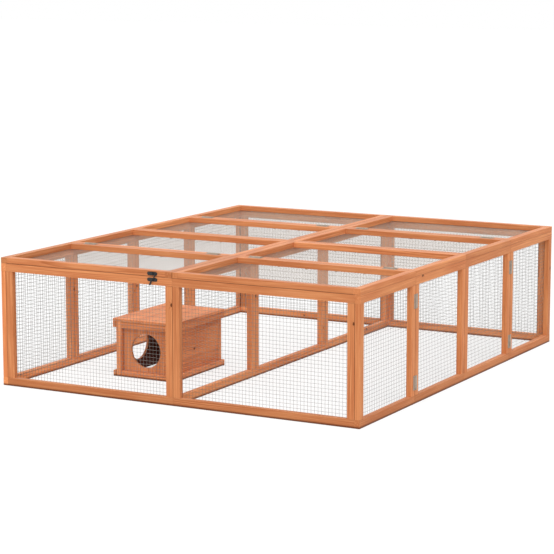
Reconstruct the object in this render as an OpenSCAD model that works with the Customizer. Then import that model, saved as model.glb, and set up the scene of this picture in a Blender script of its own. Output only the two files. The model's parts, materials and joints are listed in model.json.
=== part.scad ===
// Outdoor rabbit run: a low pen of framed wire-mesh panels, open at the bottom, with a mesh roof,
// open divider frames along its middle and a loose hide box standing in the left bay.
// Origin: middle of the plan, on the ground. X runs along the front, the front faces -Y, Z is up.

/* [Run] */
// Width over the two side walls, along X
run_w = 1420; // [1180:10:1710]
// Depth from the front face to the back face, along Y
run_d = 1700; // [1400:10:2100]
// Height from the ground to the top of the roof frames
run_h = 462; // [380:1:600]

/* [Timber] */
// Thickness of every frame strip, measured through the panel
board_t = 20; // [16:1:24]
// Width of a stile, an upper rail or a roof strip
strip_w = 27; // [22.5:0.5:36]
// Height of the rails of a wall panel
wall_rail_w = 29; // [24:1:36]
// Joint line left between two strips of one frame
joint_gap = 0.2; // [0.1:0.1:0.4]
// Gap between two panels that part or fold
fold_gap = 1; // [0.6:0.2:2]
// Running clearance between pieces that rest on or slide past each other
seat_gap = 0.3; // [0.2:0.1:0.5]
// How far the joints between the divider's frames lie in front of even thirds
divider_shift = 16; // [0:1:40]

/* [Wire mesh] */
// Pitch of the welded mesh
mesh_pitch = 13; // [10:0.1:16]
// Diameter of one wire; the real sheet is two crossed wires thick
wire_d = 0.9; // [0.7:0.1:1.2]
// Meshes across one step of the coarse grid that stands for the fine one, at most
grid_meshes = 5; // [4:1:8]
// Width of a bar of that coarse grid
grid_bar = 8; // [6:0.5:10]
// Thickness of that coarse grid, thin enough to weigh what the wires do
mesh_t = 0.5; // [0.4:0.1:1.8]

/* [Hinges] */
// Length of a hinge along its pin
hinge_len = 50; // [38:1:64]
// Width of one leaf from the pin's axis to its outer edge
leaf_w = 14; // [11.5:0.5:18]
// Thickness of a leaf
leaf_t = 1.5; // [1.2:0.1:2]
// Outer radius of a knuckle
knuckle_r = 2.5; // [2.4:0.1:3]
// Radius of a hinge pin
pin_r = 1.2; // [1:0.1:1.4]
// Radial clearance of a pin in a moving knuckle
pin_fit = 0.05; // [0.02:0.01:0.1]
// Centre of an outer roof hinge from the side of the run
lid_hinge_out = 97; // [60:1:150]
// Centre of an inner roof hinge from the middle of the roof
lid_hinge_in = 87; // [60:1:150]
// Centre of the upper wall hinge below the wall's top edge
wall_hinge_drop = 84; // [60:1:120]
// Centre of the lower wall hinge above the ground
wall_hinge_rise = 74; // [60:1:120]

/* [Latch] */
// Centre of the latch from the middle of the front
latch_x = 78; // [55:1:200]
// Length of each latch plate
latch_plate_w = 40; // [34:1:50]
// Height of each latch plate
latch_plate_h = 12.5; // [11:0.5:16]
// Radius of the stud that the hook catches
stud_r = 2.5; // [2:0.1:3]
// Angle from the hook's locked place to the place where it is shown, clear of the stud
hook_released = 25; // [22:1:40]

/* [Hide box] */
// Width over the side battens, along X
hide_w = 260; // [216:4:320]
// Length along Y
hide_d = 360; // [300:5:450]
// Height of the roof's top above the ground
hide_h = 214; // [178:2:260]
// Left battens of the box from the outer face of the left wall
hide_from_left = 258; // [60:2:300]
// Front of the box from the front face of the run
hide_from_front = 322; // [60:2:600]
// Diameter of the round doorways
door_d = 124; // [100:2:150]
// Centre of the front doorway from the outer face of the left battens
front_door_in = 133; // [120:1:140]
// Centre of the left doorway from the front of the box
side_door_in = 142; // [100:2:180]
// Thickness of the box's panels and roof
hide_panel_t = 10; // [8:1:14]
// Side of a square corner post
hide_post_w = 22; // [16:1:26]
// How far a side batten stands out
batten_t = 14; // [10:1:20]
// Height of a side batten
batten_h = 22; // [16:1:30]
// Height of the front and back rails between the posts
hide_rail_h = 22; // [16:1:30]

/* [Screws] */
// Radius of a screw's head
screw_head_r = 3; // [2.5:0.1:3.3]
// Height of a screw's head
screw_head_h = 0.8; // [0.5:0.1:1]
// Radius of a screw's shank where it passes through a plate
screw_r = 1.6; // [1.4:0.1:2]

/* [Hidden] */
SIDES = ["left", "right"];
ENDS = ["front", "rear"];
$fn = 40;

WOOD = [0.80, 0.48, 0.27];
WIRE = [0.72, 0.73, 0.74];
ZINC = [0.66, 0.67, 0.69];
BLACK = [0.06, 0.06, 0.065];

half_w = run_w / 2;
half_d = run_d / 2;
quarter_d = run_d / 4;
// A sheet is stapled to the inner face of its frame and starts this far from the frame's outer
// edge, so that at a corner its wires clear the next panel and the wires on it.
mesh_inset = board_t + 2 * wire_d + seat_gap;
mesh_lap = strip_w - mesh_inset;
grid_pitch = grid_meshes * mesh_pitch;
roof_z = run_h - board_t;         // underside of the roof frames
wall_h = roof_z - seat_gap;       // top edge of every wall panel and of the divider
knuckle_lift = 0.2;               // knuckles clear of the face that their leaves lie on
axis_h = knuckle_r + knuckle_lift;
knuckles = 5;                     // knuckles along one hinge, the outer ones on the fixed leaf
knuckle_gap = 0.25;
screw_from_axis = 0.6 * leaf_w;   // across a leaf
screw_from_middle = 0.3 * hinge_len;
screw_taper = 0.6;                // top of a screw's head, as a share of its radius
screw_gap = 0.1;                  // hole round a shank, and head off its plate
cut = 1;                          // how far a cutting shape runs past the face that it cuts

// ---- Frames: four strips in the plane (u, v), board_t thick in w, u along the panel's length ----

// Rails run the full length; the stiles stand between them.
module framed_panel(length, height, rail_w = strip_w) {
    for (v = [0, height - rail_w])
        translate([0, v, 0]) cube([length, rail_w, board_t]);
    for (u = [0, length - strip_w])
        translate([u, rail_w + joint_gap, 0])
            cube([strip_w, height - 2 * (rail_w + joint_gap), board_t]);
}

// The sheet of mesh that covers that frame's opening, as a coarse grid of square windows
// centred on the sheet, with a border that is stapled to the strips.
module mesh_panel(length, height, rail_w = strip_w) {
    sheet_u = length - 2 * mesh_inset;
    sheet_v = height - 2 * rail_w + 2 * mesh_lap;
    columns = ceil((sheet_u - 2 * mesh_lap) / grid_pitch);
    rows = ceil((sheet_v - 2 * mesh_lap) / grid_pitch);
    step_u = (sheet_u - grid_bar - 2 * mesh_lap) / columns;
    step_v = (sheet_v - grid_bar - 2 * mesh_lap) / rows;
    translate([mesh_inset, rail_w - mesh_lap, 0]) difference() {
        cube([sheet_u, sheet_v, mesh_t]);
        for (i = [0 : columns - 1], j = [0 : rows - 1])
            translate([mesh_lap + grid_bar + i * step_u, mesh_lap + grid_bar + j * step_v, -cut])
                cube([step_u - grid_bar, step_v - grid_bar, mesh_t + 2 * cut]);
    }
}

// Stand a (u, v, w) panel upright with its origin at the given point: along X, with w to the
// front, or along Y, with w to the right.
module facing_y(at) translate(at) rotate([90, 0, 0]) children();
module facing_x(at) translate(at) rotate([90, 0, 90]) children();

// ---- Front and back: two panels each, between the side walls ----

end_panel_w = half_w - board_t - seat_gap - joint_gap / 2;
function end_panel_x(side) = side == "left" ? -half_w + board_t + seat_gap : joint_gap / 2;

module end_frame(side, front) {
    y = front ? -half_d + board_t : half_d;
    color(WOOD) facing_y([end_panel_x(side), y, 0]) framed_panel(end_panel_w, wall_h, wall_rail_w);
}

// The mesh lies on the inner face of its frame.
module end_mesh(side, front) {
    y = front ? -half_d + board_t + mesh_t : half_d - board_t;
    color(WIRE) facing_y([end_panel_x(side), y, 0]) mesh_panel(end_panel_w, wall_h, wall_rail_w);
}

// ---- Side walls: a hinged front section, two middle frames screwed together, a hinged rear one ----

section_l = quarter_d - fold_gap / 2;
middle_l = section_l - joint_gap / 2;
// Low ends in Y of the frames of each section
function section_starts(section) =
    section == "front" ? [-half_d] :
    section == "rear" ? [quarter_d + fold_gap / 2] :
    [-quarter_d + fold_gap / 2, joint_gap / 2];
function section_length(section) = section == "middle" ? middle_l : section_l;

module wall_frame(side, section) {
    x = side == "left" ? -half_w : half_w - board_t;
    color(WOOD) for (y = section_starts(section))
        facing_x([x, y, 0]) framed_panel(section_length(section), wall_h, wall_rail_w);
}

module wall_mesh(side, section) {
    x = side == "left" ? -half_w + board_t : half_w - board_t - mesh_t;
    color(WIRE) for (y = section_starts(section))
        facing_x([x, y, 0]) mesh_panel(section_length(section), wall_h, wall_rail_w);
}

// ---- Roof: on each half a front lid, two middle frames and a rear lid ----

roof_panel_w = half_w - fold_gap / 2;
function roof_x(side) = side == "left" ? -half_w : fold_gap / 2;

// Strips along Y run the full length; the crossbars lie between them.
module roof_panel(side, section, at_z) {
    for (y = section_starts(section))
        translate([roof_x(side) + roof_panel_w, y, at_z]) rotate([0, 0, 90]) children();
}

module roof_frame(side, section) {
    color(WOOD) roof_panel(side, section, roof_z) framed_panel(section_length(section), roof_panel_w);
}

module roof_mesh(side, section) {
    color(WIRE) roof_panel(side, section, roof_z - mesh_t)
        mesh_panel(section_length(section), roof_panel_w);
}

// ---- Divider: three open frames in line under the roof's middle, from the front to the back ----

third_l = (run_d - 2 * board_t - 2 * joint_gap) / 3;
function divider_l(i) = third_l + (i - 1) * divider_shift;
function divider_y(i) = -half_d + board_t + i * (third_l + joint_gap) - (i > 0 ? divider_shift : 0);

module divider_frame(i) {
    color(WOOD) facing_x([-board_t / 2, divider_y(i), 0])
        framed_panel(divider_l(i), wall_h, wall_rail_w);
}

// ---- Hinges: pin along u, the leaves on the face w = 0, the fixed leaf towards +v ----

knuckle_l = hinge_len / knuckles;
function is_fixed(k) = k % 2 == 0;

module screw() {
    translate([0, 0, leaf_t + screw_gap])
        cylinder(h = screw_head_h, r1 = screw_head_r, r2 = screw_taper * screw_head_r);
    cylinder(h = leaf_t + screw_gap, r = screw_r);
}

module leaf_screws(direction) {
    for (u = [-1, 1] * screw_from_middle)
        translate([u, direction * screw_from_axis, 0]) screw();
}

module knuckle(k, r, extra) {
    translate([-hinge_len / 2 + k * knuckle_l + (knuckle_gap - extra) / 2, 0, axis_h])
        rotate([0, 90, 0]) cylinder(h = knuckle_l - knuckle_gap + extra, r = r);
}

// direction is +1 for the fixed leaf and -1 for the moving one.
module leaf(direction) {
    fixed = direction > 0;
    v = fixed ? 0 : -leaf_w;
    room_r = knuckle_r + seat_gap;
    difference() {
        union() {
            translate([-hinge_len / 2, v, 0]) cube([hinge_len, leaf_w, leaf_t]);
            for (k = [0 : knuckles - 1])
                if (is_fixed(k) == fixed) knuckle(k, knuckle_r, 0);
        }
        // Room for the other leaf's knuckles
        for (k = [0 : knuckles - 1])
            if (is_fixed(k) != fixed)
                translate([-hinge_len / 2 + k * knuckle_l - knuckle_gap / 2, -room_r, -cut])
                    cube([knuckle_l + knuckle_gap, 2 * room_r, leaf_t + 2 * cut]);
        translate([-hinge_len / 2 - cut, 0, axis_h]) rotate([0, 90, 0])
            cylinder(h = hinge_len + 2 * cut, r = pin_r + pin_fit);
        for (u = [-1, 1] * screw_from_middle)
            translate([u, direction * screw_from_axis, -cut])
                cylinder(h = leaf_t + 2 * cut, r = screw_r + screw_gap);
    }
}

module pin() {
    translate([-hinge_len / 2, 0, axis_h]) rotate([0, 90, 0]) cylinder(h = hinge_len, r = pin_r);
}

// The fold line of the front sections lies at -quarter_d, and that of the rear ones at quarter_d.
// A rear hinge is turned round, so that its moving leaf points to the back.
module at_roof_hinges(side, section) {
    for (d = [lid_hinge_in, half_w - lid_hinge_out])
        translate([side == "left" ? -d : d, section == "front" ? -quarter_d : quarter_d, run_h])
            rotate([0, 0, section == "front" ? 0 : 180]) children();
}

module at_wall_hinges(side, section) {
    for (z = [wall_hinge_rise, wall_h - wall_hinge_drop])
        translate([side == "left" ? -half_w : half_w, section == "front" ? -quarter_d : quarter_d, z])
            rotate([0, side == "left" ? -90 : 90, 0])
                rotate([0, 0, section == "front" ? 0 : 180]) children();
}

module at_all_roof_hinges() {
    for (side = SIDES, section = ENDS) at_roof_hinges(side, section) children();
}

module at_all_wall_hinges() {
    for (side = SIDES, section = ENDS) at_wall_hinges(side, section) children();
}

module lid_hinge_leaves(side, section) {
    color(ZINC) at_roof_hinges(side, section) {
        leaf(-1);
        leaf_screws(-1);
    }
}

module wall_hinge_leaves(side, section) {
    color(ZINC) at_wall_hinges(side, section) {
        leaf(-1);
        leaf_screws(-1);
    }
}

module roof_fixed_hinge_leaves() { color(ZINC) at_all_roof_hinges() leaf(1); }
module wall_fixed_hinge_leaves() { color(ZINC) at_all_wall_hinges() leaf(1); }

module hinge_pins() {
    color(ZINC) {
        at_all_roof_hinges() pin();
        at_all_wall_hinges() pin();
    }
}

module fixed_hinge_screws() {
    color(ZINC) {
        at_all_roof_hinges() leaf_screws(1);
        at_all_wall_hinges() leaf_screws(1);
    }
}

// ---- Latch on the front left lid: a stud on the lid, and a hook that turns on a plate below it ----
// Drawn in (u, v, w): u along the front, v up and w out of the front face.

catch_z = run_h - board_t / 2;
base_rise = 4;                    // latch base above the middle of the top rail
base_z = wall_h - wall_rail_w / 2 + base_rise;
stud_rise = catch_z - base_z;     // from the hook's pivot to the stud
hook_t = 1.5;
hook_clear = 0.8;                 // hook's plane in front of the screw heads
hook_w = leaf_t + screw_gap + screw_head_h + hook_clear;
pivot_r = 2;
pivot_boss_r = 3.2;               // shoulder that holds the hook off the plate
hook_eye_r = 5.2;                 // rim round the pivot
hook_ring_in = stud_r + 1.2;
hook_ring_out = hook_ring_in + 3.3;
hook_mouth = [115, -50];          // the ring runs round the stud's right side between these angles
arm_in = 1;                       // edges of the arm between the eye and the ring
arm_out = 5;
arm_rise = 2;
tail_l = 18;
tail_w = 5;
tail_end_r = 3.5;
head_over = 2.2;                  // how far a stud's head stands past its neck
head_t = 1.2;

module on_front(z) translate([-latch_x, -half_d, z]) rotate([90, 0, 0]) children();

plate_end = (latch_plate_w - latch_plate_h) / 2;   // centre of a plate's round end, and of a screw

// A plate with round ends, bored for two screws and for a rivet of the given radius
module latch_plate(rivet_r) {
    difference() {
        union() {
            translate([-plate_end, -latch_plate_h / 2, 0]) cube([2 * plate_end, latch_plate_h, leaf_t]);
            for (u = [-plate_end, plate_end])
                translate([u, 0, 0]) cylinder(h = leaf_t, r = latch_plate_h / 2);
        }
        for (u = [-plate_end, plate_end])
            translate([u, 0, -cut]) cylinder(h = leaf_t + 2 * cut, r = screw_r + screw_gap);
        translate([0, 0, -cut]) cylinder(h = leaf_t + 2 * cut, r = rivet_r + screw_gap);
    }
}

module latch_screws() {
    for (u = [-plate_end, plate_end]) translate([u, 0, 0]) screw();
}

// A rivet through a latch plate, with the wider head that keeps the hook on it
module rivet(r) {
    head_w = hook_w + hook_t + seat_gap;
    cylinder(h = head_w - screw_gap, r = r);
    translate([0, 0, head_w]) cylinder(h = head_t, r = r + head_over);
}

module latch_catch() {
    color(BLACK) on_front(catch_z) {
        latch_plate(stud_r);
        rivet(stud_r);
        latch_screws();
    }
}

module latch_base() {
    boss_w = leaf_t + screw_gap;
    color(BLACK) on_front(base_z) {
        latch_plate(pivot_r);
        rivet(pivot_r);
        translate([0, 0, boss_w]) cylinder(h = hook_w - seat_gap - boss_w, r = pivot_boss_r);
        latch_screws();
    }
}

// Outline of the hook in its locked place, pivot at the origin, stud straight above
module hook_outline() {
    far = 4 * hook_ring_out;
    difference() {
        union() {
            circle(r = hook_eye_r);
            translate([-tail_w / 2, -tail_l, 0]) square([tail_w, tail_l]);
            translate([0, -tail_l, 0]) circle(r = tail_end_r);
            polygon([
                [arm_in, arm_rise], [arm_out, 0],
                [hook_ring_out, stud_rise - arm_rise], [hook_ring_in, stud_rise - arm_rise]
            ]);
            // Over the stud from its right side to just past its top
            translate([0, stud_rise]) difference() {
                circle(r = hook_ring_out);
                circle(r = hook_ring_in);
                polygon([
                    [0, 0], far * [cos(hook_mouth[0]), sin(hook_mouth[0])],
                    [-far, 0], [-far, -far], far * [cos(hook_mouth[1]), sin(hook_mouth[1])]
                ]);
            }
        }
        circle(r = pivot_r + pin_fit);
    }
}

module latch_hook() {
    color(BLACK) on_front(base_z) rotate([0, 0, -hook_released])
        translate([0, 0, hook_w]) linear_extrude(hook_t) hook_outline();
}

// ---- Hide box: posts, rails and battens round thin panels, with no floor ----

hide_x = -half_w + hide_from_left;           // outer face of the left battens
hide_y = -half_d + hide_from_front;
body_x = hide_x + batten_t;                  // outer face of the left posts
body_w = hide_w - 2 * batten_t;
body_h = hide_h - hide_panel_t - joint_gap;  // under the roof board
door_z = body_h / 2;                         // midway between the rails
front_recess = hide_post_w - hide_panel_t;   // front and back panels lie this far behind the posts
between_posts = body_w - 2 * hide_post_w - 2 * joint_gap;
side_panel_l = hide_d - 2 * hide_post_w - 2 * joint_gap;

module hide_roof() {
    color(WOOD) translate([hide_x, hide_y, hide_h - hide_panel_t])
        cube([hide_w, hide_d, hide_panel_t]);
}

module hide_posts() {
    color(WOOD) for (x = [0, body_w - hide_post_w], y = [0, hide_d - hide_post_w])
        translate([body_x + x, hide_y + y, 0]) cube([hide_post_w, hide_post_w, body_h]);
}

// Rails in front of the front panel and behind the back panel
module hide_rails() {
    color(WOOD) for (y = [0, hide_d - front_recess + joint_gap], z = [0, body_h - hide_rail_h])
        translate([body_x + hide_post_w + joint_gap, hide_y + y, z])
            cube([between_posts, front_recess - joint_gap, hide_rail_h]);
}

module hide_battens() {
    color(WOOD) for (x = [hide_x, body_x + body_w + joint_gap], z = [0, body_h - batten_h])
        translate([x, hide_y, z]) cube([batten_t - joint_gap, hide_d, batten_h]);
}

module end_board(y) {
    translate([body_x + hide_post_w + joint_gap, hide_y + y, 0])
        cube([between_posts, hide_panel_t, body_h]);
}

module side_board(x) {
    translate([body_x + x, hide_y + hide_post_w + joint_gap, 0])
        cube([hide_panel_t, side_panel_l, body_h]);
}

module hide_front_panel() {
    color(WOOD) difference() {
        end_board(front_recess);
        translate([hide_x + front_door_in, hide_y + front_recess - cut, door_z])
            rotate([-90, 0, 0]) cylinder(h = hide_panel_t + 2 * cut, r = door_d / 2, $fn = 96);
    }
}

module hide_back_panel() { color(WOOD) end_board(hide_d - front_recess - hide_panel_t); }

module hide_left_panel() {
    color(WOOD) difference() {
        side_board(0);
        translate([body_x - cut, hide_y + side_door_in, door_z])
            rotate([0, 90, 0]) cylinder(h = hide_panel_t + 2 * cut, r = door_d / 2, $fn = 96);
    }
}

module hide_right_panel() { color(WOOD) side_board(body_w - hide_panel_t); }

end_frame("left", true);  // front_left_frame
end_frame("right", true);  // front_right_frame
end_frame("left", false);  // back_left_frame
end_frame("right", false);  // back_right_frame
wall_frame("left", "front");  // left_wall_front_frame
wall_frame("left", "middle");  // left_wall_middle_frame
wall_frame("left", "rear");  // left_wall_rear_frame
wall_frame("right", "front");  // right_wall_front_frame
wall_frame("right", "middle");  // right_wall_middle_frame
wall_frame("right", "rear");  // right_wall_rear_frame
roof_frame("left", "front");  // front_left_lid_frame
roof_frame("right", "front");  // front_right_lid_frame
roof_frame("left", "rear");  // rear_left_lid_frame
roof_frame("right", "rear");  // rear_right_lid_frame
roof_frame("left", "middle");  // roof_left_middle_frame
roof_frame("right", "middle");  // roof_right_middle_frame
divider_frame(0);  // divider_front_frame
divider_frame(1);  // divider_middle_frame
divider_frame(2);  // divider_rear_frame
end_mesh("left", true);  // front_left_mesh
end_mesh("right", true);  // front_right_mesh
end_mesh("left", false);  // back_left_mesh
end_mesh("right", false);  // back_right_mesh
wall_mesh("left", "front");  // left_wall_front_mesh
wall_mesh("left", "middle");  // left_wall_middle_mesh
wall_mesh("left", "rear");  // left_wall_rear_mesh
wall_mesh("right", "front");  // right_wall_front_mesh
wall_mesh("right", "middle");  // right_wall_middle_mesh
wall_mesh("right", "rear");  // right_wall_rear_mesh
roof_mesh("left", "front");  // front_left_lid_mesh
roof_mesh("right", "front");  // front_right_lid_mesh
roof_mesh("left", "rear");  // rear_left_lid_mesh
roof_mesh("right", "rear");  // rear_right_lid_mesh
roof_mesh("left", "middle");  // roof_left_middle_mesh
roof_mesh("right", "middle");  // roof_right_middle_mesh
lid_hinge_leaves("left", "front");  // front_left_lid_hinge_leaves
lid_hinge_leaves("right", "front");  // front_right_lid_hinge_leaves
lid_hinge_leaves("left", "rear");  // rear_left_lid_hinge_leaves
lid_hinge_leaves("right", "rear");  // rear_right_lid_hinge_leaves
wall_hinge_leaves("left", "front");  // left_wall_front_hinge_leaves
wall_hinge_leaves("left", "rear");  // left_wall_rear_hinge_leaves
wall_hinge_leaves("right", "front");  // right_wall_front_hinge_leaves
wall_hinge_leaves("right", "rear");  // right_wall_rear_hinge_leaves
roof_fixed_hinge_leaves();
wall_fixed_hinge_leaves();
hinge_pins();
fixed_hinge_screws();
latch_catch();
latch_base();
latch_hook();
hide_roof();
hide_front_panel();
hide_back_panel();
hide_left_panel();
hide_right_panel();
hide_posts();
hide_rails();
hide_battens();
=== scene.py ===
import json
import math
import random

import bpy
import numpy as np
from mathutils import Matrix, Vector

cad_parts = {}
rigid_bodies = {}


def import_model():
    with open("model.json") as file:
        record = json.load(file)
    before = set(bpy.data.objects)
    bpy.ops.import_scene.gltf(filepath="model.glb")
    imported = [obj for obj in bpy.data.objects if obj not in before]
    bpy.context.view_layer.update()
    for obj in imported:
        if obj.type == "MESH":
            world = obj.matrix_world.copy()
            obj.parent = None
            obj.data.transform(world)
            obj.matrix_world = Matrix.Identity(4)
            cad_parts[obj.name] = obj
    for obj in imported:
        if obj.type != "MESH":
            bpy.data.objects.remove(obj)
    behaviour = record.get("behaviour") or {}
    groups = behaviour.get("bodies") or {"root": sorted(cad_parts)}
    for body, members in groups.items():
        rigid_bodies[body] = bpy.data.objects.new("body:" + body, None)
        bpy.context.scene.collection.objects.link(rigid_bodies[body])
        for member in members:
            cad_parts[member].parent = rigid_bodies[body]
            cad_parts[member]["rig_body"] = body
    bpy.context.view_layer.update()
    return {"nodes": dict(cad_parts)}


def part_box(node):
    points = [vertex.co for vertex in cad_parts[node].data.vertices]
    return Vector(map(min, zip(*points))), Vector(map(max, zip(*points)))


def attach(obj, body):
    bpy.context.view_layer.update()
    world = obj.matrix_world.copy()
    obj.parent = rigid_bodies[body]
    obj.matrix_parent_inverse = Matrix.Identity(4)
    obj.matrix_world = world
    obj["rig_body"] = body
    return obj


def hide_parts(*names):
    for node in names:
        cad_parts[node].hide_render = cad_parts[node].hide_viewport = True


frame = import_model()

MM = 0.001

# Camera, fitted to the run's corners in the photograph.
CAMERA_PLACE = (3.5473, -6.6091, 1.539)
CAMERA_DOWN = 9.191
CAMERA_LEFT = 28.623
CAMERA_LENS = 131.65
SENSOR = 36.0

# Light. A sun's strength, tilt off straight down, heading and softness, with angles in degrees.
SUNS = {"sun_over": (2.15, 24, 34, 70), "sun_front": (0.82, 62, 32, 50)}
SKY_LIGHT = 0.60
WHITE = 1.0
FLOOR_SIZE = 60.0
FLOOR_DROP = 0.3 * MM
FLOOR_GLOW = 0.74  # its own light, where it is seen
FLOOR_SEEN = 0.25  # its grey where it is seen, which keeps the shadow
FLOOR_BOUNCE = 0.60  # its grey for the light that it sends back up
FLOOR_SPECKLE = 0.02

# Rounded edges. Ends and the doorways' rims have shares of the full width.
TOUCH = 0.01 * MM
SHARP = math.radians(30)
STRAIGHT = 0.99
ARRIS = 1.0 * MM
END_ARRIS = 0.3
RIM_ARRIS = 0.6
LATCH_ARRIS = 0.25 * MM
ZINC_ARRIS = 0.2 * MM

# Wood.
WOOD_RELIEF = 0.12 * MM
RING_PITCH = 3.4 * MM
BOARD_RINGS = 1.5  # rings of the hide box's boards, wider than those of the strips
STRIP_CORNER_SHADE = (0.003, 0.2)  # how far painted corner shade reaches from a joint, and how strongly
BOARD_CORNER_SHADE = (0.009, 0.8)
SEAM_GAP = 1.3 * MM
SEAM_SHARE = 0.6
TIGHT_END = 0.2
TIGHT_SIDE = 0.3
CONTACT_SHADE_HEIGHTS = (0.003, 0.010)  # heights between which the painted shadow at the foot of a strip, by the floor, fades out
TOP_PAINTED_SHEEN = 0.12
TONE_STEP = 0.07
PITH_AWAY = (14, 46)  # how far the pith lies from a strip's middle, in millimetres
GRAIN_SLIDE = 9  # how far the grain is shifted along a strip, at most, in metres
DARK_STAIN_AND_SHADE = (92, 46, 25)
INNER_PAINTED_SHADE = (112, 30, 18)
KNOT_LIGHT = (122, 66, 36)
KNOT_DARK = (82, 42, 22)
KNOT_EDGE = (60, 30, 16)

# Knots. KNOTS has the places of those that the photograph shows, and other strips draw theirs.
# Sizes are radii in millimetres.
NO_KNOT = (9.0, 9.0, 9.0)  # far off
KNOTLESS = 0.5  # share of the other strips that have none
KNOT_SPAN = (0.12, 0.88)  # part of each side of a strip that a knot keeps to
KNOT_SIZE = (2.0, 4.0)
SHOWN_KNOT_SIZE = (2.8, 4.0)
KNOTS = {
    "centre stile": (-0.0036, -0.85, 0.3489),
    "right front stile": (0.6859, -0.85, 0.3455),
    "right top rail": (0.71, -0.3695, 0.4375),
    "rear stile": (0.71, 0.8402, 0.2969),
    "left inner post": (-0.69, -0.425, 0.2858),
    "hide right board": (-0.206, -0.3628, 0.0958),
}
KNOT_REACH = 1.5 * MM

# Tone offsets in steps of TONE_STEP, partly painted light and shade: of a panel's strips, most of
# those seen inside the run painted paler, and more for those by the ground, painted darker at the
# front and right and paler at the back.
PANEL_TONE_AND_LIGHT = {
    "left_wall": 3.6, "back": 0.6, "front_left_lid": -1.2, "front_right_lid": -0.4,
    "divider": 1.0, "hide_right": 0.6, "hide_roof": 1.0, "hide_front": -2.4,
}
LOW_TONE_AND_LIGHT = {"back": 2.0, "front": -2.8, "right_wall": -1.9}
LOW_HEIGHT = 40 * MM

# Metal.
ZINC_RELIEF = 0.02 * MM
BLACK_RELIEF = 0.03 * MM

# Wire and staples.
WIRE_PITCH = 13 * MM
WIRE_R = 0.45 * MM
WELD = 0.05 * MM
WAVER = 0.04 * MM
WIRE_SIDES = 6
WIRE_STEPS = 4
STAPLE_PITCH = 105 * MM
STAPLE_LENGTH = 8 * MM
STAPLE_WIDTH = 1.0 * MM
STAPLE_T = 0.5 * MM
STAPLE_INSET = 2.4 * MM
STAPLE_WANDER = 0.12


def colour(red, green, blue):
    """An sRGB colour of 0 to 255 as the linear colour a shader takes."""
    def linear(c):
        c /= 255
        return c / 12.92 if c <= 0.04045 else ((c + 0.055) / 1.055) ** 2.4
    return linear(red), linear(green), linear(blue), 1.0


class Shader:
    """A material's node tree, with a short call for each kind of node."""

    def __init__(self, name):
        self.material = bpy.data.materials.new(name)
        self.material.use_nodes = True
        self.tree = self.material.node_tree
        self.tree.nodes.clear()

    def node(self, kind, inputs=(), **settings):
        made = self.tree.nodes.new(kind)
        for key, value in settings.items():
            setattr(made, key, value)
        for key, value in dict(inputs).items():
            socket = made.inputs[key] if isinstance(key, int) else next(
                i for i in made.inputs if i.name == key and i.enabled)
            if isinstance(value, bpy.types.NodeSocket):
                self.tree.links.new(value, socket)
            else:
                socket.default_value = value
        return made

    def math(self, operation, *values):
        return self.node("ShaderNodeMath", enumerate(values), operation=operation).outputs[0]

    def vector(self, operation, *values):
        return self.node("ShaderNodeVectorMath", enumerate(values), operation=operation).outputs[0]

    def length(self, value):
        return self.node("ShaderNodeVectorMath", {0: value}, operation="LENGTH").outputs["Value"]

    def dot(self, first, second):
        inputs = {0: first, 1: second}
        return self.node("ShaderNodeVectorMath", inputs, operation="DOT_PRODUCT").outputs["Value"]

    def step(self, value, low, high, at_low=0.0, at_high=1.0):
        """A smooth ramp between at_low and at_high, while the value goes from low to high."""
        inputs = {"Value": value, "From Min": low, "From Max": high,
                  "To Min": at_low, "To Max": at_high}
        ramp = self.node("ShaderNodeMapRange", inputs, interpolation_type="SMOOTHSTEP")
        return ramp.outputs["Result"]

    def near(self, below, above, reach, fade):
        """1 beside the faces that a neighbour covers, fading out between these two distances."""
        shares = []
        for gap, seams in ((below, "seam_below"), (above, "seam_above")):
            inputs = {"Vector": gap, "From Min": [reach] * 3, "From Max": [fade] * 3,
                      "To Min": [1.0] * 3, "To Max": [0.0] * 3}
            fall = self.node("ShaderNodeMapRange", inputs, data_type="FLOAT_VECTOR",
                             interpolation_type="SMOOTHSTEP")
            shares.append(self.vector("MULTIPLY", fall.outputs["Vector"], self.attribute(seams)))
        most = self.parts(self.vector("MAXIMUM", *shares))
        return self.math("MAXIMUM", self.math("MAXIMUM", most[0], most[1]), most[2])

    def mix(self, share, first, second):
        inputs = {0: share, 6: first, 7: second}
        return self.node("ShaderNodeMix", inputs, data_type="RGBA").outputs[2]

    def noise(self, place, scale, detail=2.0, roughness=0.5, output="Fac"):
        inputs = {"Vector": place, "Scale": scale, "Detail": detail, "Roughness": roughness}
        return self.node("ShaderNodeTexNoise", inputs).outputs[output]

    def attribute(self, name, output="Vector"):
        return self.node("ShaderNodeAttribute", attribute_name=name).outputs[output]

    def parts(self, value):
        return self.node("ShaderNodeSeparateXYZ", {0: value}).outputs

    def place(self):
        return self.node("ShaderNodeTexCoord").outputs["Object"]

    def surface(self, height, relief, **inputs):
        """A Principled surface, its bump's relief in metres."""
        bump = self.node("ShaderNodeBump", {"Height": height, "Distance": relief, "Strength": 1.0})
        inputs = {key.replace("_", " "): value for key, value in inputs.items()}
        shader = self.node("ShaderNodeBsdfPrincipled", dict(inputs, Normal=bump.outputs[0]))
        output = self.node("ShaderNodeOutputMaterial")
        self.tree.links.new(shader.outputs[0], output.inputs["Surface"])
        return self.material


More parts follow.
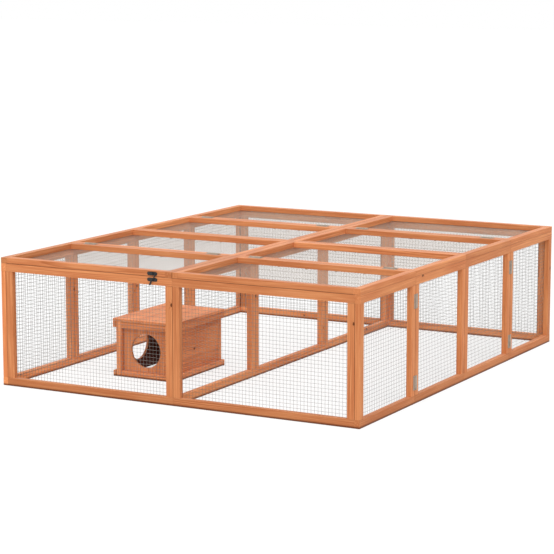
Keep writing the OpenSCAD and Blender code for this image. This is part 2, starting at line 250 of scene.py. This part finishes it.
def wood_material(name, light, base, deep, late, ring_pitch, corner_shade):
    """Stained softwood, along each strip's own axes, which its attributes give: rings bent round
    knots, streaks, fibres, end grain, worn arrises, dark stain and painted shade along the joints,
    painted shade in corners beside them, a painted shadow at the feet by the floor, painted shade
    on the faces inside the hide box, and a painted sheen on the faces that look up."""
    s = Shader(name)
    local = s.attribute("local")
    grain = s.vector("ADD", local, s.attribute("offset"))

    slow = s.vector("MULTIPLY", grain, (0.10, 1.0, 1.0))
    drift = s.vector("SUBTRACT", s.noise(slow, 22.0, 1.5, 0.5, "Color"), (0.5, 0.5, 0.5))
    warped = s.vector("MULTIPLY_ADD", drift, (0.0, 0.014, 0.014), grain)
    across = s.length(s.vector("MULTIPLY", warped, (0.0, 1.0, 1.0)))

    ragged = s.vector("SUBTRACT", s.noise(local, 160.0, 1.0, 0.5, "Color"), (0.5, 0.5, 0.5))
    ragged = s.vector("MULTIPLY_ADD", ragged, (0.003, 0.003, 0.003), local)
    from_knot = s.vector("SUBTRACT", ragged, s.attribute("knot"))
    from_knot = s.vector("MULTIPLY", from_knot, (0.6, 1.0, 0.35))
    knot_d = s.math("DIVIDE", s.length(from_knot), s.attribute("knot_r", "Fac"))
    halo = s.math("EXPONENT", s.math("MULTIPLY", s.math("MULTIPLY", knot_d, knot_d), -0.14))
    bent = s.math("MULTIPLY_ADD", halo, 0.006, across)

    turn = s.math("FRACT", s.math("DIVIDE", bent, ring_pitch))
    line = s.math("MULTIPLY", s.step(turn, 0.35, 0.92), s.step(turn, 0.93, 1.0, 1.0, 0.0))
    patchy = s.step(s.noise(slow, 30.0, 2.0), 0.30, 0.70, 0.25, 1.0)
    rings = s.math("MULTIPLY", line, patchy)

    streaks = s.noise(s.vector("MULTIPLY", grain, (5.0, 170.0, 170.0)), 1.0, 3.0, 0.6)
    fibres = s.noise(s.vector("MULTIPLY", grain, (60.0, 2600.0, 2600.0)), 1.0, 2.0, 0.6)
    cloud = s.noise(s.vector("MULTIPLY", grain, (3.0, 24.0, 24.0)), 1.0, 2.0, 0.5)

    look = s.mix(s.step(cloud, 0.36, 0.64), base, deep)
    look = s.mix(s.step(streaks, 0.45, 0.75, 0.0, 0.85), look, light)
    look = s.mix(s.math("MULTIPLY", rings, 0.72), look, late)
    look = s.mix(s.step(streaks, 0.22, 0.42, 0.45, 0.0), look, late)
    look = s.mix(s.step(fibres, 0.62, 0.85, 0.0, 0.22), look, late)

    off_rim = s.math("POWER", s.math("SUBTRACT", knot_d, 1.0), 2.0)
    knot_ring = s.math("EXPONENT", s.math("MULTIPLY", off_rim, -22.0))
    knot_turn = s.step(s.math("FRACT", s.math("MULTIPLY", knot_d, 3.3)), 0.3, 0.9)
    knot_look = s.mix(knot_turn, colour(*KNOT_LIGHT), colour(*KNOT_DARK))
    look = s.mix(s.math("MULTIPLY", halo, 0.35), look, late)
    look = s.mix(s.step(knot_d, 0.85, 1.15, 1.0, 0.0), look, knot_look)
    look = s.mix(s.math("MULTIPLY", knot_ring, 0.75), look, colour(*KNOT_EDGE))

    inset = s.parts(s.vector("SUBTRACT", s.attribute("half"), s.vector("ABSOLUTE", local)))
    least = s.math("MINIMUM", s.math("MINIMUM", inset[0], inset[1]), inset[2])
    most = s.math("MAXIMUM", s.math("MAXIMUM", inset[0], inset[1]), inset[2])
    total = s.math("ADD", s.math("ADD", inset[0], inset[1]), inset[2])
    arris = s.math("SUBTRACT", s.math("SUBTRACT", total, least), most)
    end = s.step(inset[0], 0.0002, 0.0009, 1.0, 0.0)
    look = s.mix(s.math("MULTIPLY", end, 0.14), look, late)
    scuffs = s.noise(s.vector("MULTIPLY", grain, (28.0, 220.0, 220.0)), 1.0, 3.0, 0.6)
    scuffs = s.step(scuffs, 0.42, 0.66)
    wear = s.math("MULTIPLY", s.step(arris, 0.0003, 0.0022, 1.0, 0.0), scuffs)
    look = s.mix(s.math("MULTIPLY", wear, 0.45), look, light)

    below = s.vector("ADD", s.attribute("half"), local)
    above = s.vector("SUBTRACT", s.attribute("half"), local)
    # Dark stain in each joint with painted shade, as a thin line where a neighbour covers a face,
    # then a wider band of painted corner shade beside it
    seam = s.near(below, above, 0.0002, 0.0011)
    corner_shade_mask = s.near(below, above, 0.0, corner_shade[0])
    corner_shade_mask = s.math("MULTIPLY", corner_shade_mask, s.step(streaks, 0.2, 0.7, 0.7, 1.0))
    look = s.mix(s.math("MULTIPLY", corner_shade_mask, corner_shade[1]), look, late)
    look = s.mix(s.math("MULTIPLY", seam, 0.7), look, colour(*DARK_STAIN_AND_SHADE))

    # Painted shadow along the foot of each strip, where it meets the floor
    contact_shade = s.step(s.attribute("height", "Fac"), *CONTACT_SHADE_HEIGHTS, 0.85, 0.0)
    look = s.mix(contact_shade, look, colour(*DARK_STAIN_AND_SHADE))
    facing = s.node("ShaderNodeTexCoord").outputs["Normal"]
    # Painted shade on the faces inside the hide box, those that face its middle
    inner = s.step(s.dot(facing, s.attribute("inward")), 0.5, 0.8, 0.0, 0.85)
    look = s.mix(inner, look, colour(*INNER_PAINTED_SHADE))

    tone = s.math("MULTIPLY_ADD", s.attribute("tone", "Fac"), TONE_STEP, 1.0)
    look = s.node("ShaderNodeHueSaturation", {"Color": look, "Value": tone}).outputs[0]

    rough = s.math("MULTIPLY_ADD", fibres, 0.16, 0.44)
    rough = s.math("MULTIPLY_ADD", end, 0.18, rough)
    rough = s.math("MULTIPLY_ADD", wear, 0.10, rough)
    height = s.math("MULTIPLY_ADD", rings, -0.35, s.math("MULTIPLY", fibres, 0.5))
    height = s.math("MULTIPLY_ADD", knot_ring, -0.6, height)
    # A sheen on the faces that look up only, which paints a highlight on the tops
    painted_top_sheen = s.step(s.parts(facing)[2], 0.5, 0.9, 0.0, TOP_PAINTED_SHEEN)
    return s.surface(height, WOOD_RELIEF, Base_Color=look, Roughness=rough,
                     Specular_IOR_Level=0.10, Sheen_Weight=painted_top_sheen)


def metal_material(name, bright, dull, rough, spangle, metallic):
    """Zinc-coated steel: crystals of slightly different grey, fine scratches and dull spots."""
    s = Shader(name)
    place = s.place()
    crystal = s.node("ShaderNodeTexVoronoi", {"Vector": place, "Scale": spangle}).outputs["Color"]
    crystal = s.parts(crystal)[0]
    cloud = s.noise(place, 60.0, 3.0, 0.6)
    scratch = s.noise(s.vector("MULTIPLY", place, (2200.0, 260.0, 700.0)), 1.0, 2.0, 0.6)
    dulled = s.math("MULTIPLY_ADD", crystal, 0.6, s.step(cloud, 0.4, 0.7, 0.0, 0.4))
    look = s.mix(dulled, bright, dull)
    look = s.mix(s.step(scratch, 0.62, 0.8, 0.0, 0.5), look, bright)
    gloss = s.math("MULTIPLY_ADD", cloud, 0.25, s.math("MULTIPLY_ADD", crystal, 0.10, rough))
    height = s.math("ADD", s.math("MULTIPLY", crystal, 0.3), scratch)
    return s.surface(height, ZINC_RELIEF, Base_Color=look, Roughness=gloss, Metallic=metallic)


def black_material(name):
    """Satin black coated steel, with a fine orange-peel skin and rubbed spots."""
    s = Shader(name)
    place = s.place()
    peel = s.noise(place, 1400.0, 2.0, 0.5)
    rubbed = s.step(s.noise(place, 240.0, 3.0, 0.65), 0.58, 0.72)
    look = s.mix(s.math("MULTIPLY", rubbed, 0.35), colour(24, 23, 24), colour(78, 74, 72))
    rough = s.math("MULTIPLY_ADD", rubbed, -0.08, s.math("MULTIPLY_ADD", peel, 0.12, 0.34))
    return s.surface(peel, BLACK_RELIEF, Base_Color=look, Roughness=rough)


def floor_material():
    """White floor that keeps a shadow. It glows a little where the camera, a reflection or a clear
    surface sees it, and sends a different share of the light back to the rest."""
    s = Shader("white_floor")
    path = s.node("ShaderNodeLightPath").outputs
    seen = s.math("MAXIMUM", path["Is Camera Ray"], path["Is Glossy Ray"])
    seen = s.math("MAXIMUM", seen, path["Is Transmission Ray"])
    speckle = s.noise(s.place(), 9.0, 3.0)
    speckle = s.step(speckle, 0.3, 0.7, 1 - FLOOR_SPECKLE, 1 + FLOOR_SPECKLE)
    levels = {"Value": seen, "To Min": FLOOR_BOUNCE, "To Max": FLOOR_SEEN}
    level = s.math("MULTIPLY", s.node("ShaderNodeMapRange", levels).outputs["Result"], speckle)
    paper = s.node("ShaderNodeCombineColor", {0: level, 1: level, 2: level})
    diffuse = s.node("ShaderNodeBsdfDiffuse", {"Color": paper.outputs[0]})
    glow = s.node("ShaderNodeEmission", {"Strength": s.math("MULTIPLY", seen, FLOOR_GLOW)})
    both = s.node("ShaderNodeAddShader", {0: diffuse.outputs[0], 1: glow.outputs[0]})
    output = s.node("ShaderNodeOutputMaterial")
    s.tree.links.new(both.outputs[0], output.inputs["Surface"])
    return s.material


def coordinates(mesh):
    """The mesh's points, one row each."""
    flat = np.zeros(len(mesh.vertices) * 3)
    mesh.vertices.foreach_get("co", flat)
    return flat.reshape(-1, 3)


def solids(mesh):
    """The mesh's separate solids, each as the numbers of its points."""
    points = coordinates(mesh)
    spot = np.unique(np.round(points / TOUCH).astype(int), axis=0, return_inverse=True)[1].ravel()
    ends = np.zeros(len(mesh.edges) * 2, int)
    mesh.edges.foreach_get("vertices", ends)
    first, second = spot[ends].reshape(-1, 2).T
    root = np.arange(spot.max() + 1)
    while True:
        before = root.copy()
        low = np.minimum(root[first], root[second])
        np.minimum.at(root, first, low)
        np.minimum.at(root, second, low)
        if (root == before).all():
            return [np.flatnonzero(root[spot] == r) for r in np.unique(root)]


def knot_in(low, high, draw, plain):
    """The place and radius of the strip's knot, with a far-off place where it has none. A plain
    strip has no knot but those in KNOTS."""
    for place in KNOTS.values():
        if (low - KNOT_REACH <= place).all() and (place <= high + KNOT_REACH).all():
            return np.array(place), draw.uniform(*SHOWN_KNOT_SIZE) * MM
    if plain or draw.random() < KNOTLESS:
        return np.array(NO_KNOT), 1.0 * MM
    share = np.array([draw.uniform(*KNOT_SPAN) for _ in low])
    return low + share * (high - low), draw.uniform(*KNOT_SIZE) * MM


def covered(low, high, others):
    """For each axis, whether neighbours close off most of the box's low face and high face."""
    below, above = np.zeros(3), np.zeros(3)
    for axis in range(3):
        flat = [a for a in range(3) if a != axis]
        area = np.prod((high - low)[flat])
        for side, face in ((below, low[axis]), (above, high[axis])):
            shared = 0.0
            for other_low, other_high in others:
                gap = face - other_high[axis] if side is below else other_low[axis] - face
                if -TOUCH < gap < SEAM_GAP:
                    lap = (np.minimum(high, other_high) - np.maximum(low, other_low))[flat]
                    shared += np.prod(np.maximum(lap, 0.0))
            side[axis] = shared > SEAM_SHARE * area
    return below, above


def grain(node, plain, boxes, panel_tone_and_light, low_tone_and_light, inside):
    """Gives each strip of a CAD node its own axes, pith, knot, tone, seams, height and, where the
    middle of the hide box is given, inner side, for the wood material. It also says how far each
    of its edges is rounded."""
    mesh = node.data
    points = coordinates(mesh)
    names = ("local", "offset", "half", "knot", "inward", "seam_below", "seam_above")
    rows = {name: np.zeros((len(points), 3)) for name in names}
    single = {name: np.zeros(len(points)) for name in ("knot_r", "tone")}
    single["height"] = points[:, 2].copy()
    long_axis = np.zeros(len(points), int)
    for members in solids(mesh):
        low, high = points[members].min(0), points[members].max(0)
        middle = (low + high) / 2
        draw = random.Random(str([round(float(c) / MM) for c in middle]))
        order = np.argsort(low - high, kind="stable")
        long_axis[members] = order[0]
        below, above = covered(low, high, boxes)
        tight = np.array([TIGHT_END, 1.0, 1.0])
        if order[0] == 1:
            tight[order == 2] = TIGHT_SIDE
        rows["seam_below"][members] = tight * below[order]
        rows["seam_above"][members] = tight * above[order]
        knot, knot_r = knot_in(low, high, draw, plain)
        pith = draw.uniform(0, 2 * math.pi)
        away = draw.uniform(*PITH_AWAY) * MM
        rows["local"][members] = (points[members] - middle)[:, order]
        rows["half"][members] = ((high - low) / 2)[order]
        rows["knot"][members] = (knot - middle)[order]
        if inside is not None:
            rows["inward"][members, order[2]] = np.sign(inside - middle)[order[2]]
        slide = draw.uniform(0, GRAIN_SLIDE)
        rows["offset"][members] = slide, away * math.cos(pith), away * math.sin(pith)
        single["knot_r"][members] = knot_r
        # Tone that differs at random, with the painted light and shade of the tables above
        lowest_tone_and_light = low_tone_and_light if high[2] < LOW_HEIGHT else 0
        single["tone"][members] = draw.uniform(-1, 1) + panel_tone_and_light + lowest_tone_and_light
    for name, values in rows.items():
        made = mesh.attributes.new(name, "FLOAT_VECTOR", "POINT")
        made.data.foreach_set("vector", values.ravel())
    for name, values in single.items():
        mesh.attributes.new(name, "FLOAT", "POINT").data.foreach_set("value", values)

    def spot(start, end):
        """The same key for edges that lie on each other."""
        return tuple(np.round((points[start] + points[end]) / TOUCH).astype(int))

    sides = {}
    for face in mesh.polygons:
        for start, end in face.edge_keys:
            sides.setdefault(spot(start, end), []).append(face.normal.copy())
    weights = np.zeros(len(mesh.edges))
    for index, edge in enumerate(mesh.edges):
        start, end = edge.vertices
        normals = sides.get(spot(start, end), [])
        if len(normals) == 2 and normals[0].angle(normals[1]) > SHARP:
            along = np.abs(points[end] - points[start])
            if along.max() <= STRAIGHT * np.linalg.norm(along):
                weights[index] = RIM_ARRIS
            else:
                weights[index] = 1.0 if along.argmax() == long_axis[start] else END_ARRIS
    mesh.attributes.new("bevel_weight_edge", "FLOAT", "EDGE").data.foreach_set("value", weights)


def ease(node, width, segments, limit="ANGLE"):
    """Joins the CAD node's faces and rounds its edges, which keeps its box."""
    weld = node.modifiers.new("weld", "WELD")
    weld.merge_threshold = TOUCH
    bevel = node.modifiers.new("arris", "BEVEL")
    bevel.width = width
    bevel.segments = segments
    bevel.limit_method = limit
    bevel.angle_limit = SHARP
    bevel.use_clamp_overlap = True
    normals = node.modifiers.new("normals", "WEIGHTED_NORMAL")
    normals.keep_sharp = False


def paint(node, material):
    """Gives a CAD node this material in each of its slots."""
    for slot in node.material_slots:
        slot.material = material


def piece(name, points, faces, material, body, smooth):
    """A new mesh piece that rides on a body."""
    mesh = bpy.data.meshes.new(name)
    mesh.from_pydata(points, [], faces)
    mesh.materials.append(material)
    mesh.polygons.foreach_set("use_smooth", [smooth] * len(mesh.polygons))
    made = bpy.data.objects.new(name, mesh)
    bpy.context.scene.collection.objects.link(made)
    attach(made, body)
    return made


def rod(points, faces, start, end, draw):
    """Adds one slightly wavering wire from start to end."""
    along = int(np.argmax(np.abs(end - start)))
    first, second = [axis for axis in range(3) if axis != along]
    base = len(points)
    for step in range(WIRE_STEPS + 1):
        centre = start + (end - start) * step / WIRE_STEPS
        centre[first] += draw.uniform(-WAVER, WAVER)
        for side in range(WIRE_SIDES):
            turn = 2 * math.pi * side / WIRE_SIDES
            point = centre.copy()
            point[first] += WIRE_R * math.cos(turn)
            point[second] += WIRE_R * math.sin(turn)
            points.append(tuple(point))
    for step in range(WIRE_STEPS):
        low = base + step * WIRE_SIDES
        for side in range(WIRE_SIDES):
            after = (side + 1) % WIRE_SIDES
            up = low + WIRE_SIDES
            faces.append((low + side, low + after, up + after, up + side))
    faces.append(tuple(base + side for side in reversed(range(WIRE_SIDES))))
    faces.append(tuple(base + WIRE_STEPS * WIRE_SIDES + side for side in range(WIRE_SIDES)))


def block(points, faces, low, high):
    """Adds one staple's flat crown."""
    base = len(points)
    for corner in range(8):
        points.append(tuple(high[a] if corner >> a & 1 else low[a] for a in range(3)))
    for quad in ((0, 2, 3, 1), (4, 5, 7, 6), (0, 1, 5, 4),
                 (2, 6, 7, 3), (0, 4, 6, 2), (1, 3, 7, 5)):
        faces.append(tuple(base + q for q in quad))


def wire_mesh(name, frame_name, wire, zinc):
    """Stands for a CAD mesh node: two welded layers of wires on the frame's face, with staples."""
    node = frame["nodes"][name]
    points = coordinates(node.data)
    wood = sum(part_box(frame_name), start=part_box(frame_name)[0] * 0) / 2
    draw = random.Random(name)
    rods, rod_faces, crowns, crown_faces = [], [], [], []
    for members in solids(node.data):
        low, high = points[members].min(0), points[members].max(0)
        normal = int(np.argmin(high - low))
        inwards = 1 if wood[normal] < low[normal] else -1
        face = low[normal] if inwards > 0 else high[normal]
        flat = [axis for axis in range(3) if axis != normal]
        for layer, across in enumerate(flat[::-1]):
            depth = face + inwards * (WIRE_R + layer * (2 * WIRE_R - WELD))
            span = high[across] - low[across] - 2 * WIRE_R
            count = int(span // WIRE_PITCH)
            begin = (low[across] + high[across] - count * WIRE_PITCH) / 2
            for index in range(count + 1):
                start, end = low.copy(), high.copy()
                start[normal] = end[normal] = depth
                start[across] = end[across] = begin + index * WIRE_PITCH
                rod(rods, rod_faces, start, end, draw)
        over = face + inwards * (4 * WIRE_R - WELD)
        for along, across in (flat, flat[::-1]):
            span = high[along] - low[along]
            count = max(2, round(span / STAPLE_PITCH))
            for edge in (low[across] + STAPLE_INSET, high[across] - STAPLE_INSET):
                for index in range(count):
                    share = index + 0.5 + draw.uniform(-STAPLE_WANDER, STAPLE_WANDER)
                    at = low[along] + share * span / count
                    box = np.zeros((2, 3))
                    box[:, along] = at - STAPLE_LENGTH / 2, at + STAPLE_LENGTH / 2
                    box[:, across] = edge - STAPLE_WIDTH / 2, edge + STAPLE_WIDTH / 2
                    box[:, normal] = sorted((face, over + inwards * STAPLE_T))
                    block(crowns, crown_faces, box[0], box[1])
    body = node["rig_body"]
    wires = name.replace("_mesh", "_wire")
    made = piece(wires, rods, rod_faces, wire, body, True)
    made.visible_shadow = False  # soft light finds its way round wires this thin
    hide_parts(name)
    name = name.replace("_mesh", "_staples")
    piece(name, crowns, crown_faces, zinc, body, False)


def lamp(name, strength, tilt, heading, softness):
    """A soft sun that shines from this tilt off straight down, seen from this heading."""
    data = bpy.data.lights.new(name, "SUN")
    data.energy = strength
    data.angle = math.radians(softness)
    made = bpy.data.objects.new(name, data)
    made.rotation_euler = (math.radians(tilt), 0, math.radians(heading))
    bpy.context.scene.collection.objects.link(made)


def studio():
    """White floor, white world, soft suns and the photograph's camera."""
    mesh = bpy.data.meshes.new("floor")
    half = FLOOR_SIZE / 2
    corners = ((-half, -half), (half, -half), (half, half), (-half, half))
    mesh.from_pydata([(x, y, -FLOOR_DROP) for x, y in corners], [], [(0, 1, 2, 3)])
    mesh.materials.append(floor_material())
    floor = bpy.data.objects.new("floor", mesh)
    bpy.context.scene.collection.objects.link(floor)

    world = bpy.data.worlds.new("white")
    bpy.context.scene.world = world
    world.use_nodes = True
    tree = world.node_tree
    path = tree.nodes.new("ShaderNodeLightPath")
    seen = tree.nodes.new("ShaderNodeMath")
    seen.operation = "MAXIMUM"
    tree.links.new(path.outputs["Is Camera Ray"], seen.inputs[0])
    tree.links.new(path.outputs["Is Glossy Ray"], seen.inputs[1])
    clear = tree.nodes.new("ShaderNodeMath")
    clear.operation = "MAXIMUM"
    tree.links.new(seen.outputs[0], clear.inputs[0])
    tree.links.new(path.outputs["Is Transmission Ray"], clear.inputs[1])
    strength = tree.nodes.new("ShaderNodeMapRange")
    strength.inputs["To Min"].default_value = SKY_LIGHT
    strength.inputs["To Max"].default_value = WHITE
    tree.links.new(clear.outputs[0], strength.inputs["Value"])
    background = tree.nodes["Background"]
    background.inputs["Color"].default_value = (1.0, 1.0, 1.0, 1.0)
    tree.links.new(strength.outputs[0], background.inputs["Strength"])

    for name, light in SUNS.items():
        lamp(name, *light)

    data = bpy.data.cameras.new("camera")
    data.sensor_width = SENSOR
    data.lens = CAMERA_LENS
    camera = bpy.data.objects.new("camera", data)
    camera.location = CAMERA_PLACE
    camera.rotation_euler = (math.radians(90 - CAMERA_DOWN), 0, math.radians(CAMERA_LEFT))
    bpy.context.scene.collection.objects.link(camera)
    bpy.context.scene.camera = camera
    bpy.context.scene.view_settings.view_transform = "Standard"


def offset(name, tones):
    """The tone offset that this table holds for a node."""
    return sum(more for key, more in tones.items() if name.startswith(key))


def dress():
    """Gives every CAD node its material, and puts the wires in."""
    frame_wood = wood_material(
        "stained_strips", colour(230, 158, 106), colour(212, 137, 88), colour(202, 124, 78),
        colour(166, 93, 52), RING_PITCH, STRIP_CORNER_SHADE)
    # The boards are paler than the strips, partly their own colour and partly painted light for
    # the hide box inside the run
    board_wood = wood_material(
        "stained_boards", colour(246, 169, 114), colour(229, 147, 97), colour(218, 133, 86),
        colour(166, 93, 54), BOARD_RINGS * RING_PITCH, BOARD_CORNER_SHADE)
    zinc = metal_material(
        "zinc", colour(192, 178, 164), colour(150, 138, 126), 0.38, 900.0, 1.0)
    wire = metal_material(
        "galvanised", colour(144, 140, 135), colour(114, 111, 106), 0.42, 700.0, 0.5)
    # The roof's and lids' wire is the same galvanised wire, painted paler and less metallic for
    # the light from above that falls on it
    lit_roof_wire = metal_material(
        "galvanised_roof", colour(187, 175, 162), colour(163, 152, 141), 0.42, 700.0, 0.35)
    black = black_material("black_coat")
    wooden = [name for name in frame["nodes"]
              if name.endswith("_frame") or name.startswith("hide_")]
    boxes = []
    for name in wooden:
        points = coordinates(frame["nodes"][name].data)
        boxes += [(points[m].min(0), points[m].max(0)) for m in solids(frame["nodes"][name].data)]
    hide_middle = coordinates(frame["nodes"]["hide_roof"].data).mean(0)
    for name, node in frame["nodes"].items():
        if name.endswith("_mesh"):
            metal = lit_roof_wire if "roof" in name or "lid" in name else wire
            wire_mesh(name, name.replace("_mesh", "_frame"), metal, zinc)
        elif name in wooden:
            # Only the knots in KNOTS are put where the photograph shows the wood plainly
            plain = name.startswith(("front", "right", "roof", "rear_right", "rear_left", "hide"))
            # The hide box's panels get painted shade on their inner faces
            inside = hide_middle if name.endswith("_panel") else None
            grain(node, plain, boxes, offset(name, PANEL_TONE_AND_LIGHT), offset(name, LOW_TONE_AND_LIGHT), inside)
            ease(node, ARRIS, 2, "WEIGHT")
            paint(node, board_wood if name.startswith("hide_") else frame_wood)
        elif name.startswith("latch"):
            ease(node, LATCH_ARRIS, 2)
            paint(node, black)
        else:
            ease(node, ZINC_ARRIS, 1)
            paint(node, zinc)


dress()
studio()
